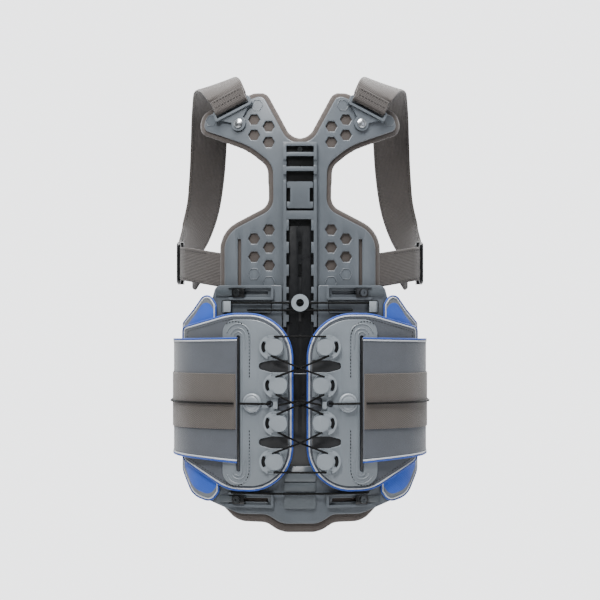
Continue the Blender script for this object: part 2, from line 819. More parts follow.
def strip_loop(count: int) -> tuple[np.ndarray, np.ndarray]:
    """Loop round a flat strip of unit width, closest together at its edges.

    The positions across are half the sine of an even angle, over the top and back underneath.

    Args:
        count: points on each face.

    Returns:
        Positions across from -0.5 to 0.5, and the face's sign at each of them.
    """
    across = 0.5 * np.sin(np.linspace(-math.pi / 2, math.pi / 2, count))
    inner = across[1:-1]
    sign = np.concatenate([[0.0], np.ones(count - 2), [0.0], -np.ones(count - 2)])
    return np.concatenate([across, inner[::-1]]), sign


@dataclass
class WrapBand:
    """Flat band round the torso between two section distances."""

    name: str
    start: float
    end: float
    low_z: tuple[float, float]
    high_z: tuple[float, float]
    off: tuple[float, float]
    steps: int
    step: tuple[float, float, float] = (0.0, 1.0, 0.0)

    def sink(self, s: np.ndarray) -> np.ndarray:
        """How far the band has stepped inwards: a smooth S curve between two distances."""
        t = np.clip((np.abs(s) - self.step[0]) / (self.step[1] - self.step[0]), 0, 1)
        return self.step[2] * t * t * (3 - 2 * t)

    def build(self) -> bpy.types.Object:
        """Make the band: at each distance a round-edged profile between its two heights.

        Returns:
            The new object, with the distance from the nearer long edge in edge_mm.
        """
        t = np.linspace(0, 1, self.steps)
        s = self.start + (self.end - self.start) * t
        low = self.low_z[0] + (self.low_z[1] - self.low_z[0]) * t
        high = self.high_z[0] + (self.high_z[1] - self.high_z[0]) * t
        thick = self.off[1] - self.off[0]
        across, sign = strip_loop(48)
        z = low[:, None] + (across[None] + 0.5) * (high - low)[:, None]
        rim = np.minimum(across + 0.5, 0.5 - across)[None] * (high - low)[:, None]
        swell = np.sqrt(np.clip(1 - (1 - np.clip(rim / (thick / 2), 0, 1)) ** 2, 0, 1))
        z = np.clip(z, low[:, None], high[:, None])
        off = sum(self.off) / 2 - self.sink(s)[:, None] + sign[None] * swell * thick / 2
        sections = TORSO.point(s[:, None] * np.ones_like(z), z, off)
        return loft(self.name, sections, attributes={"edge_mm": rim})


def finish_piece(obj: bpy.types.Object, finish: object, body: str,
                 replaced: Sequence[str] = ()) -> bpy.types.Object:
    """Dress a new piece, put it on its body and report it.

    Args:
        obj: the piece.
        finish: its finish.
        body: the CAD body that it moves with.
        replaced: CAD nodes that it stands for.

    Returns:
        The same object.
    """
    Finishes.dress(obj, finish)
    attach(obj, body)
    if replaced:
        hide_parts(*replaced)
    LOG.info("%s: %d faces on %s", obj.name, len(obj.data.polygons), body)
    return obj


# ---- sub-assemblies ---------------------------------------------------------------------------

@dataclass
class RigidParts:
    """CAD parts that keep their shape and get their finish."""

    finishes: dict[str, object] = field(default_factory=lambda: {
        "thoracic_shell": SHELL, "height_channel": SHELL, "height_tongue": SHELL, "channel_screw": DARK_STEEL,
        "strap_keepers": BLACK, "strap_rivets": STEEL, "lumbar_plate": SHELL, "spine_rail": DARK,
        "ladder_blocks": RECESS, "adjuster_frames_upper": SHELL, "adjuster_frames_lower": SHELL,
        "recess_plates": RECESS, "cord_clips": GUIDE, "cord_ring": GUIDE, "channel_liner": BLACK,
    })
    paired: dict[str, object] = field(default_factory=lambda: {
        "strap_ring": SHELL, "width_blocks": BLOCK, "width_screws": DARK_STEEL, "lacing_plate": PLATE,
        "lace_guides": GUIDE, "cord_bar": GUIDE, "belt_bar": BLACK, "pull_handle": DARK,
    })

    bevel_mm: float = 0.75
    plain: tuple[str, ...] = ("channel_liner", "recess_plates", "strap_rivets")

    def soften(self, obj: bpy.types.Object) -> None:
        """Round a CAD node's sharp edges a little, as a mould leaves them.

        Args:
            obj: the CAD node.
        """
        weld = obj.modifiers.new("weld", "WELD")
        weld.merge_threshold = 2e-5
        bevel = obj.modifiers.new("edges", "BEVEL")
        bevel.width = self.bevel_mm * MM
        bevel.segments = 2
        bevel.limit_method = "ANGLE"
        bevel.angle_limit = math.radians(38)
        bevel.use_clamp_overlap = True

    def dress(self) -> None:
        """Give every rigid node its finish."""
        names = dict(self.finishes)
        names.update({f"{name}_{side}": finish for name, finish in self.paired.items() for side, _ in SIDES})
        for name, finish in names.items():
            Finishes.dress(frame["nodes"][name], finish)
            if name not in self.plain:
                self.soften(frame["nodes"][name])
            LOG.info("%s dressed as %s", name, finish.name)


@dataclass
class ShellDetails:
    """Moulded outlines on the plates."""

    hex_r: float = 6.9
    blind: tuple = ((51.8, 492.8), (107.2, 476.9), (35.8, 287.7), (53.1, 296.9))
    shell_off: float = 6.6
    recess: tuple = ((33, 251.5, 3), (91, 251.5, 3), (91, 266.6, 3), (33, 266.6, 3))
    recess_off: float = 9.32
    foot: tuple = ((-24, 237.2, 1), (24, 237.2, 1), (24, 246.5, 1), (-24, 246.5, 1))
    step_z: float = 182.0
    step_half: float = 7.5
    step_off: float = 8.6

    def hexagon(self, side: str, sign: float, index: int, x: float, z: float) -> None:
        """Raised outline of a window that is moulded shut: six corners joined by straight lines.

        Args:
            side: which side, right or left.
            sign: 1 for the right side and -1 for the left.
            index: the outline's number.
            x: its centre's distance from the symmetry plane.
            z: its centre's height.
        """
        turn = np.radians(np.arange(0, 361, 60))
        corners = np.stack([x + self.hex_r * np.cos(turn), z + self.hex_r * np.sin(turn)], -1)
        t = np.linspace(0, 6, 61)[:-1]
        outline = np.stack([np.interp(t, np.arange(7), corners[:, k]) for k in (0, 1)], -1)
        s = TORSO.along(outline[:, 0] * sign, self.shell_off)
        path = TORSO.point(s, outline[:, 1], self.shell_off + 0.02)
        obj = tube(f"blind_window_{side}_{index}", path, 0.5 * MM, closed=True, sides=8)
        finish_piece(obj, SHELL, "thoracic_frame")

    def build(self) -> None:
        """Make the outlines and recess seals on both sides, the foot's seal and the rail's step."""
        for side, sign in SIDES:
            for index, (x, z) in enumerate(self.blind):
                self.hexagon(side, sign, index, x, z)
            line = rounded_outline(self.recess, 160) * np.array([sign, 1.0])
            path = on_torso(line, self.recess_off)
            obj = tube(f"recess_seal_{side}", path, 0.7 * MM, closed=True, sides=10)
            finish_piece(obj, BLACK, "lumbar_frame")
        outline = rounded_outline(self.foot, 120)
        seal = PadShape("channel_foot_seal", outline, 6.42, 6.64, edge=0.1, rings=24).build()
        finish_piece(seal, DARK_KNIT, "thoracic_frame")
        x = np.linspace(-self.step_half, self.step_half, 20)
        path = TORSO.point(TORSO.along(x, self.step_off), np.full(20, self.step_z), self.step_off)
        finish_piece(tube("rail_step", path, 0.6 * MM, sides=10), SHELL, "lumbar_frame")


@dataclass
class Linings:
    """Foam linings under the stiff plates."""

    voxel: float = 0.0016
    bulge: float = 1.7
    gap_z: float = 241.0
    gap_reach: float = 8.0

    def soften(self, node: str, body: str) -> bpy.types.Object:
        """Copy a lining's CAD solid, remesh it finely and relax its edges into a foam's round ones.

        Args:
            node: the lining's CAD node.
            body: the body that it rides on.

        Returns:
            The new piece.
        """
        source = frame["nodes"][node]
        obj = bpy.data.objects.new(node + "_foam", source.data.copy())
        bpy.context.scene.collection.objects.link(obj)
        obj.data.materials.clear()
        weld = obj.modifiers.new("weld", "WELD")
        weld.merge_threshold = 1e-5
        remesh = obj.modifiers.new("remesh", "REMESH")
        remesh.mode = "VOXEL"
        remesh.voxel_size = self.voxel
        remesh.use_smooth_shade = True
        relax = obj.modifiers.new("relax", "SMOOTH")
        relax.factor = 0.5
        relax.iterations = 6
        apply_modifiers(obj)
        self.swell(obj)
        lay_flat_uv(obj)
        return finish_piece(obj, LINING, body, [node])

    def swell(self, obj: bpy.types.Object) -> None:
        """Push the rim outwards along the back, except where the two linings face each other.

        Each vertex moves by its normal without the radial part.

        Args:
            obj: the lining.
        """
        mesh = obj.data
        co = np.empty(len(mesh.vertices) * 3, np.float32)
        normal = np.empty_like(co)
        mesh.vertices.foreach_get("co", co)
        mesh.vertex_normals.foreach_get("vector", normal)
        co, normal = co.reshape(-1, 3), normal.reshape(-1, 3)
        radial = np.stack([co[:, 0], co[:, 1] - TORSO.back_y * MM, np.zeros(len(co))], -1)
        radial = unit(radial)
        along = normal - radial * np.sum(normal * radial, 1, keepdims=True)
        along[np.abs(co[:, 2] - self.gap_z * MM) < self.gap_reach * MM] = 0.0
        mesh.vertices.foreach_set("co", (co + along * self.bulge * MM).ravel())
        mesh.update()

    def build(self) -> None:
        """Make both linings."""
        for node, body in (("thoracic_pad", "thoracic_frame"), ("lumbar_pad", "lumbar_frame")):
            self.soften(node, body)


def apply_modifiers(obj: bpy.types.Object) -> None:
    """Replace a piece's mesh by what its modifiers make of it.

    Args:
        obj: the piece.
    """
    graph = bpy.context.evaluated_depsgraph_get()
    mesh = bpy.data.meshes.new_from_object(obj.evaluated_get(graph))
    obj.modifiers.clear()
    obj.data = mesh


def lay_flat_uv(obj: bpy.types.Object) -> None:
    """Give a piece on the back a UV map in metres: arc length round the back, and height.

    Args:
        obj: the piece.
    """
    mesh = obj.data
    co = np.empty(len(mesh.vertices) * 3, np.float32)
    mesh.vertices.foreach_get("co", co)
    co = co.reshape(-1, 3)
    angle = np.arctan2(co[:, 0], TORSO.back_y * MM - co[:, 1])
    uv = np.stack([angle * TORSO.back_r * MM, co[:, 2]], -1)
    index = np.empty(len(mesh.loops), np.int32)
    mesh.loops.foreach_get("vertex_index", index)
    layer = mesh.uv_layers.get("UVMap") or mesh.uv_layers.new(name="UVMap")
    layer.uv.foreach_set("vector", np.ascontiguousarray(uv[index], np.float32).ravel())


@dataclass
class Stitching:
    """Row of short raised threads along a path."""

    length: float = 2.6
    gap: float = 1.4
    radius: float = 0.32

    def build(self, name: str, path: np.ndarray, body: str, slot: str) -> bpy.types.Object:
        """Make one row of stitches.

        A stitch is a small capsule: rings along its run with a sine-shaped radius, its middle raised
        and its ends dipped below the cloth.

        Args:
            name: the piece's name.
            path: points (n, 3) in metres with their outward directions in columns 3 to 5.
            body: the body that it rides on.
            slot: the material slot.

        Returns:
            The new piece.
        """
        points = path[:, :3]
        run = np.concatenate([[0], np.cumsum(np.linalg.norm(np.diff(points, axis=0), axis=1))])
        pitch = (self.length + self.gap) * MM
        starts = np.arange(pitch * 0.3, run[-1] - pitch * 0.7, pitch)
        t = np.linspace(0, 1, 6)
        at = starts[:, None] + t[None] * self.length * MM
        centre = np.stack([np.interp(at, run, path[:, k]) for k in range(3)], -1)
        out = np.stack([np.interp(at, run, path[:, 3 + k]) for k in range(3)], -1)
        out = unit(out)
        side = np.cross(unit(centre[:, -1:] - centre[:, :1]), out)
        hump = np.sin(math.pi * np.clip(t, 0.02, 0.98))
        centre = centre + out * (hump[None, :, None] * 0.5 - 0.15) * self.radius * MM
        turn = np.linspace(0, 2 * math.pi, 6, endpoint=False)
        width = self.radius * MM * (0.35 + 0.65 * hump)
        ring = (side[:, :, None] * np.cos(turn)[None, None, :, None]
                + out[:, :, None] * np.sin(turn)[None, None, :, None]) * width[None, :, None, None]
        pieces = centre[:, :, None] + ring
        n, rows, cols, _ = pieces.shape
        one = grid_faces(rows, cols, wrap_cols=True)
        cap = np.array([[0, 1, 2, 3], [0, 3, 4, 5]])
        one = np.concatenate([one, cap[:, ::-1], cap + (rows - 1) * cols])
        faces = (one[None] + (np.arange(n) * rows * cols)[:, None, None]).reshape(-1, 4)
        verts = pieces.reshape(-1, 3)
        uv = np.stack([verts[:, 0], verts[:, 2]], -1)
        obj = make_mesh(name, verts, outward(verts, faces), uv)
        return finish_piece(obj, DARK_THREAD, body)


def surface_path(s: np.ndarray, z: np.ndarray, off: float) -> np.ndarray:
    """Path on the torso with its outward normals beside it, (n, 6).

    Args:
        s: section distances.
        z: heights.
        off: the offset.

    Returns:
        Positions in metres in columns 0 to 2 and directions in columns 3 to 5.
    """
    points = TORSO.point(s, z, off)
    _, normal = TORSO.frame(np.asarray(s, float))
    return np.concatenate([points, normal, np.zeros((len(points), 1))], -1)


def ribbon_frames(route: Sequence, count: int) -> tuple[np.ndarray, np.ndarray]:
    """Even frames along a strap.

    Args:
        route: hand-placed points of its middle line in millimetres, each with its width direction.
        count: how many frames to return.

    Returns:
        Positions in metres and unit width directions.
    """
    line = np.array(route, float)
    # A full change of direction counts as 60 mm of run, so that twists are drawn finely too.
    joined = smooth_path(np.concatenate([line[:, 0], line[:, 1] * 60], 1), count)
    centre = joined[:, :3] * MM
    t = unit(np.gradient(centre, axis=0))
    w = joined[:, 3:]
    return centre, unit(w - t * np.sum(w * t, 1, keepdims=True))


def strap_mesh(name: str, centre: np.ndarray, across: np.ndarray, normal: np.ndarray, width: np.ndarray,
               thick: float) -> bpy.types.Object:
    """Flat strap with round edges along frames.

    Args:
        name: the piece's name.
        centre: middle line (n, 3) in metres.
        across: width directions (n, 3).
        normal: thickness directions (n, 3).
        width: width at each frame in millimetres.
        thick: thickness in millimetres.

    Returns:
        The new object, with the distance from the nearer edge in edge_mm.
    """
    across_unit, upper = strip_loop(36)
    a = across_unit[None] * width[:, None]
    rim = width[:, None] / 2 - np.abs(a)
    swell = np.sqrt(np.clip(1 - (1 - np.clip(rim / (thick / 2), 0, 1)) ** 2, 0.0, 1))
    b = upper[None] * swell * thick / 2
    sections = centre[:, None] + across[:, None] * a[..., None] * MM + normal[:, None] * b[..., None] * MM
    return loft(name, sections, attributes={"edge_mm": rim})


@dataclass
class ShoulderHarness:
    """Shoulder straps, their folded ends and the chest straps."""

    width: float = 45.0
    keeper_width: float = 40.0
    thick: float = 2.6
    bend_mm: float = 55.0
    end_width: float = 42.5
    end_thick: float = 2.0
    end_turn: float = 25.0
    chest_width: float = 39.5
    chest_thick: float = 2.4
    chest_r: float = 191.8
    chest_turn: float = 44.0
    chest_bend: float = 31.8
    chest_stop_y: float = 5.5
    bar_at: tuple[float, float, float] = (144.4, 1.5, 311.0)
    bar_half: tuple[float, float, float] = (2.7, 8.0, 25.2)
    # Side view of the fold: (distance from the rivet along the strap, height off the shell).
    fold: tuple = ((37.5, 6.3), (33, 6.25), (28.5, 6.2), (25.5, 6.15), (22.9, 5.8), (21.5, 4.6), (21.3, 3.4),
                   (21.9, 1.9), (23.6, 1.2), (28, 1.1), (33, 1.15), (38.2, 1.2))
    tail: tuple = ((104, 306, 1), (136.5, 306, 1), (130.5, 283.5, 1.5), (124.0, 278, 1.5))
    # Points of the long strap's middle line, each with its width direction.
    route: tuple = (
        ((82.0, -55.6, 498.1), (0.864, 0.28, -0.419)), ((84.9, -53.2, 504.8), (0.868, 0.25, -0.415)),
        ((88.6, -48.5, 511.8), (0.88, 0.2, -0.41)), ((95.0, -33.0, 519.0), (0.92, 0.1, -0.36)),
        ((101.0, -10.0, 522.0), (0.95, 0.04, -0.31)), ((106.0, 18.0, 519.0), (0.97, 0.0, -0.25)),
        ((109.0, 50.0, 506.0), (0.98, 0.0, -0.18)), ((111.5, 76.0, 486.0), (0.99, 0.0, -0.1)),
        ((113.5, 95.0, 457.0), (1.0, -0.1, 0.0)), ((116.0, 105.0, 422.0), (0.97, -0.25, 0.0)),
        ((121.0, 107.0, 382.0), (0.88, -0.45, 0.15)), ((131.0, 95.0, 347.0), (0.6, -0.45, 0.65)),
        ((141.5, 68.0, 324.0), (0.25, -0.3, 0.92)), ((145.0, 40.0, 313.0), (0.05, -0.1, 1.0)),
        ((143.6, 24.0, 311.0), (0.0, 0.0, 1.0)), ((142.6, 14.5, 311.0), (0.0, 0.0, 1.0)),
    )

    def shoulder(self, side: str, sign: float) -> None:
        """One long strap from the ring over the shoulder and under the arm to the keeper.

        Args:
            side: which side, right or left.
            sign: 1 for the right side and -1 for the left.
        """
        flip = np.array([sign, 1.0, 1.0])
        centre, across = (part * flip for part in ribbon_frames(self.route, 260))
        normal = unit(np.cross(np.gradient(centre, axis=0), across))
        t = np.linspace(0, 1, len(centre))
        width = np.interp(t, [0, 0.74, 0.84, 1.0],
                          [self.width, self.width, self.keeper_width, self.keeper_width])
        obj = strap_mesh(f"shoulder_strap_webbing_{side}", centre, across, normal, width, self.thick)
        Finishes.dress(obj, WEBBING)
        # Measured straight forwards, so that the strap's far end counts as past the blend.
        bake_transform(obj)
        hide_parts(f"shoulder_strap_{side}")
        LOG.info("%s blended from the ring to the thoracic frame", obj.name)
        for edge in (-1, 1):
            for face in (-1, 1):
                row = (centre + across * (edge * (width / 2 - 3.4) * MM)[:, None]
                       + normal * face * self.thick / 2 * MM)
                # The row starts past the bend and stops before the keeper.
                path = np.concatenate([row, normal * face], -1)[36:-14]
                label = f"{'out' if edge > 0 else 'in'}_{'top' if face > 0 else 'under'}"
                Stitching().build(f"shoulder_stitch_{side}_{label}", path, "thoracic_frame", "webbing")

    def build(self) -> None:
        """Make the harness on both sides."""
        for side, sign in SIDES:
            self.shoulder(side, sign)
            self.strap_end(side, sign)
            self.chest(side, sign)
            self.keeper_bar(side, sign)

    def keeper_bar(self, side: str, sign: float) -> None:
        """Rounded outer bar of the keeper, over the chest strap's end.

        A superellipse section runs up the bar and shrinks to its rounded ends.

        Args:
            side: which side, right or left.
            sign: 1 for the right side and -1 for the left.
        """
        turn = np.linspace(0, 2 * math.pi, 40, endpoint=False)
        flat = np.stack([np.sign(f(turn)) * np.abs(f(turn)) ** 0.5 for f in (np.cos, np.sin)], -1)
        t = np.linspace(-1, 1, 60)
        shrink = (1 - np.abs(t) ** 16) ** 0.5 * 0.98 + 0.02
        x = (self.bar_at[0] + self.bar_half[0] * flat[None, :, 0] * shrink[:, None]) * sign
        y = self.bar_at[1] + self.bar_half[1] * flat[None, :, 1] * shrink[:, None]
        z = self.bar_at[2] + self.bar_half[2] * t[:, None] * np.ones_like(x)
        bar = loft(f"keeper_bar_{side}", np.stack([x, y, z], -1) * MM)
        finish_piece(bar, BLACK, "thoracic_frame")

    def strap_end(self, side: str, sign: float) -> None:
        """Strap end folded round the ring's bar, with two rows of stitches.

        Args:
            side: which side, right or left.
            sign: 1 for the right side and -1 for the left.
        """
        joint = next(j for j in frame["joints"] if j["name"] == f"strap_swivel_{side}")
        out = np.array(joint["axis"], float)
        rivet = np.array(joint["pos_m"], float)
        level = unit(np.array([-out[1], out[0], 0.0]))
        level = level * np.sign(level[0]) * sign
        upright = np.cross(out, level)
        upright = upright * np.sign(upright[2])
        turn = math.radians(self.end_turn)
        w = level * math.cos(turn) - upright * math.sin(turn)
        v = level * math.sin(turn) + upright * math.cos(turn)
        fold = smooth_path(self.fold, 90)
        centre = rivet + (v[None] * fold[:, :1] + out[None] * fold[:, 1:]) * MM
        across = np.repeat(w[None], len(centre), 0)
        normal = np.cross(unit(np.gradient(centre, axis=0)), across)
        obj = strap_mesh(f"strap_end_webbing_{side}", centre, across, normal,
                         np.full(len(centre), self.end_width), self.end_thick)
        finish_piece(obj, WEBBING, f"strap_ring_{side}", [f"strap_end_{side}"])
        # Both rows lie on the fold's outer face, near its bend and near its end.
        xs = np.linspace(-18, 18, 20)
        for i, y in enumerate((28.4, 35.4)):
            line = rivet + (w[None] * xs[:, None] + v[None] * y + out[None] * 7.25) * MM
            path = np.concatenate([line, np.repeat(out[None], 20, 0)], -1)
            Stitching().build(f"strap_end_stitch_{side}_{i}", path, f"strap_ring_{side}", "webbing")

    def chest(self, side: str, sign: float) -> None:
        """Chest strap from the slot to the keeper: an arc over the back, then one round the side.

        Args:
            side: which side, right or left.
            sign: 1 for the right side and -1 for the left.
        """
        turn = math.radians(self.chest_turn)
        reach = self.chest_r - self.chest_bend
        first = np.linspace(math.radians(26.5), turn, 50)
        second = np.linspace(turn, math.radians(97), 40)[1:]
        x = np.concatenate([self.chest_r * np.sin(first),
                            reach * math.sin(turn) + self.chest_bend * np.sin(second)])
        y = TORSO.back_y - np.concatenate([self.chest_r * np.cos(first),
                                           reach * math.cos(turn) + self.chest_bend * np.cos(second)])
        angle = np.concatenate([first, second])
        kept = y <= self.chest_stop_y
        x, y, angle = x[kept], y[kept], angle[kept]
        # The strap climbs by 9 mm between x 90 and x 142.
        z = 301.5 + 9.0 * np.clip((x - 90.0) / 52.0, 0, 1)
        centre = np.stack([x * sign, y, z], -1) * MM
        normal = np.stack([np.sin(angle) * sign, -np.cos(angle), np.zeros(len(angle))], -1)
        across = np.cross(unit(np.gradient(centre, axis=0)), normal)
        obj = strap_mesh(f"chest_strap_webbing_{side}", centre, across, normal,
                         np.full(len(x), self.chest_width), self.chest_thick)
        finish_piece(obj, WEBBING, "thoracic_frame", [f"chest_strap_{side}"])
        outline = side_outline(self.tail, sign, 90)
        tail = PadShape(f"strap_tail_{side}", outline, -2.6, -0.4, edge=0.8, rings=14)
        finish_piece(tail.build(), WEBBING, "thoracic_frame")
        for k, d in enumerate((-16.5, 16.5)):
            row = centre + across * d * MM + normal * self.chest_thick / 2 * MM
            path = np.concatenate([row, normal], -1)[24:]
            Stitching().build(f"chest_stitch_{side}_{k}", path, "thoracic_frame", "webbing")


@dataclass
class SideWings:
    """Padded wings at the flanks, with a blue middle, a grey band and piping."""

    corners: tuple = ((97, 230, 0), (97, 262, 6), (108, 280, 9), (125, 256, 20), (139.0, 240, 4),
                      (139.0, 66, 20), (126, 38, 22), (103, 31, 12), (93.5, 44, 8), (93.5, 90, 20),
                      (80, 110, 20), (80, 215, 10))
    # Each piping's name, distance from the edge, offset, radius and finish.
    pipings: tuple = (("blue", 0.9, 11.6, 1.0, BLUE_PIPING), ("white", 2.7, 12.4, 0.8, WHITE_PIPING))

    def build(self) -> None:
        """Make both wings and their piping."""
        for side, sign in SIDES:
            body = f"wing_{side}"
            outline = side_outline(self.corners, sign, 260)
            shape = PadShape(f"side_wing_pad_{side}", inset(outline, 1.2), 10.1, 12.5, edge=2.2, rings=30)
            pad = shape.build()
            finish_piece(pad, WING, body, [f"side_wing_{side}"])
            for label, distance, off, r, finish in self.pipings:
                path = on_torso(inset(outline, distance), off)
                obj = tube(f"wing_piping_{label}_{side}", path, r * MM, closed=True, sides=10)
                finish_piece(obj, finish, body)


@dataclass
class LacingPanels:
    """Laced panels: pad, double piping, raised ribs on the plate and cords."""

    corners: tuple = ((7.6, 252.0, 52), (82, 252.0, 70), (139.0, 235.5, 7), (139.0, 79, 10),
                      (84, 46.5, 50), (7.6, 46.5, 52))
    # Each piping's name, distance from the edge, offset, radius and finish.
    pipings: tuple = (("blue", 1.2, 15.0, 1.25, BLUE_PIPING), ("white", 3.1, 15.8, 0.95, WHITE_PIPING))
    face_off: float = 18.8
    slot_x: float = 71.0
    slot_z: tuple[float, float] = (69.0, 226.0)
    window_z: tuple[float, float] = (191.0, 103.6)
    # Groove round a slot's end: (x, height from the slot's end).
    groove: tuple = ((86.5, 13.4), (78.0, 16.0), (70.0, 15.6), (62.5, 10.0), (58.6, 0.0), (58.2, -14.0),
                     (58.2, -32.0), (58.2, -50.0))
    knob_at: tuple[float, float] = (54.9, 148.7)
    # Half section of the knob: (radius, height).
    knob_profile: tuple = ((11.0, 0.0), (11.1, 1.4), (10.9, 2.6), (10.3, 3.4), (9.5, 3.8), (8.7, 3.75),
                           (8.2, 3.3), (7.8, 3.3), (7.3, 3.75), (6.0, 4.0), (3.5, 4.15), (0.4, 4.2))
    guides: tuple = ((32.5, 213.0), (28.1, 169.0), (28.1, 125.6), (32.5, 81.7))
    guide_floor: float = 20.4

    def build(self) -> None:
        """Make both panels."""
        for side, sign in SIDES:
            self.pad(side, sign)
            self.ribs(side, sign)
            self.knob(side, sign)
            self.guide_slots(side, sign)
            self.windows(side, sign)

    def windows(self, side: str, sign: float) -> None:
        """Dark knit patches behind the plate's cord windows.

        Args:
            side: which side, right or left.
            sign: 1 for the right side and -1 for the left.
        """
        for i, z in enumerate(self.window_z):
            corners = ((48.5, z - 4.6, 3.6), (48.5, z + 4.6, 3.6), (33.5, z + 8.2, 8), (13.5, z + 8.2, 2),
                       (13.5, z - 8.2, 2), (33.5, z - 8.2, 8))
            outline = side_outline(corners, sign, 120)[::-1]
            patch = PadShape(f"window_patch_{side}_{i}", outline, 16.0, 16.6, edge=0.3, rings=12).build()
            finish_piece(patch, DARK_KNIT, f"lacing_panel_{side}")

    def pad(self, side: str, sign: float) -> None:
        """Fabric pad with its piping and a stitched line inside it.

        Args:
            side: which side, right or left.
            sign: 1 for the right side and -1 for the left.
        """
        body = f"lacing_panel_{side}"
        outline = side_outline(self.corners, sign, 320)
        shape = PadShape(f"panel_pad_fabric_{side}", inset(outline, 2.0), 13.3, 16.15, edge=2.8, rings=30)
        pad = shape.build()
        finish_piece(pad, BELT, body, [f"panel_pad_{side}"])
        for label, distance, off, r, finish in self.pipings:
            path = on_torso(inset(outline, distance), off)
            obj = tube(f"panel_piping_{label}_{side}", path, r * MM, closed=True, sides=12)
            replaced = [f"panel_piping_{side}"] if label == "blue" else []
            finish_piece(obj, finish, body, replaced)
        line = inset(outline, 7.0)
        path = surface_path(TORSO.along(line[:, 0], 16.2), line[:, 1], 16.2)
        Stitching().build(f"panel_stitch_{side}", path, body, "belt_fabric")

    def ribs(self, side: str, sign: float) -> None:
        """Raised rims beside the slot, arcs round its ends, and a stitched groove outside them.

        Args:
            side: which side, right or left.
            sign: 1 for the right side and -1 for the left.
        """
        low, high = self.slot_z
        ends = (("top", high, 1), ("foot", low, -1))
        bend = np.linspace(math.radians(-75), math.radians(90), 60)
        for i, (r, tail) in enumerate(((4.3, (high - low) / 2), (8.4, 14.0), (13.6, 26.0))):
            for end, z, turn in ends:
                x = np.concatenate([self.slot_x - r * np.sin(bend), np.full(59, self.slot_x - r)])
                y = np.concatenate([z + turn * r * np.cos(bend), z - turn * np.linspace(0, tail, 60)[1:]])
                self.rib(f"plate_rib_{side}_{end}_{i}", side, x * sign, y)
        bow = smooth_path(self.groove, 160)
        s = TORSO.along(bow[:, 0] * sign, self.face_off)
        stitches = Stitching(length=2.5, gap=1.3, radius=0.62)
        for end, z, turn in ends:
            path = surface_path(s, z + turn * bow[:, 1], self.face_off + 0.05)
            stitches.build(f"plate_groove_{side}_{end}", path, f"lacing_panel_{side}", "shell")

    def rib(self, name: str, side: str, x: np.ndarray, z: np.ndarray) -> None:
        """One low rib, a tube sunk into the plate's face.

        Args:
            name: the piece's name.
            side: which side, right or left.
            x: distances from the symmetry plane.
            z: heights.
        """
        path = TORSO.point(TORSO.along(x, self.face_off), z, self.face_off - 0.05)
        obj = tube(name, path, 0.8 * MM, sides=12)
        finish_piece(obj, PLATE, f"lacing_panel_{side}")

    def knob(self, side: str, sign: float) -> None:
        """Turned knob that the pull cord lies on: a rounded foot, a ring groove and a shallow dome.

        Args:
            side: which side, right or left.
            sign: 1 for the right side and -1 for the left.
        """
        profile = np.array(self.knob_profile)
        turn = np.linspace(0, 2 * math.pi, 72, endpoint=False)
        x, z = self.knob_at
        s = np.array([TORSO.at(x, self.face_off) * sign])
        base = TORSO.point(s, z, self.face_off - 0.05)[0]
        _, normal = TORSO.frame(s)
        out = np.append(normal[0], 0.0)
        level = np.array([-out[1], out[0], 0.0])
        ring = level[None] * np.cos(turn)[:, None] + np.array([[0.0, 0.0, 1.0]]) * np.sin(turn)[:, None]
        sections = base + (ring[None] * profile[:, :1, None] + out[None, None] * profile[:, 1:, None]) * MM
        obj = loft(f"knob_dome_{side}", sections)
        finish_piece(obj, GUIDE, f"lacing_panel_{side}", [f"knob_{side}"])

    def guide_slots(self, side: str, sign: float) -> None:
        """Black liners in the bottoms of the guides' curved slots: bent strips of three rows.

        Args:
            side: which side, right or left.
            sign: 1 for the right side and -1 for the left.
        """
        a = np.linspace(math.radians(-33), math.radians(33), 24)[:, None]
        r = np.array([[7.6, 9.6, 11.6]])
        for i, (x, z) in enumerate(self.guides):
            gx, gz = x + r * np.cos(a), z + r * np.sin(a)
            points = TORSO.point(TORSO.along(gx * sign, self.guide_floor), gz, self.guide_floor + 0.55)
            uv = np.stack([gx, gz], -1).reshape(-1, 2) * MM
            obj = make_mesh(f"guide_slot_{side}_{i}", points.reshape(-1, 3), grid_faces(24, 3), uv)
            finish_piece(obj, BLACK, f"lacing_panel_{side}")


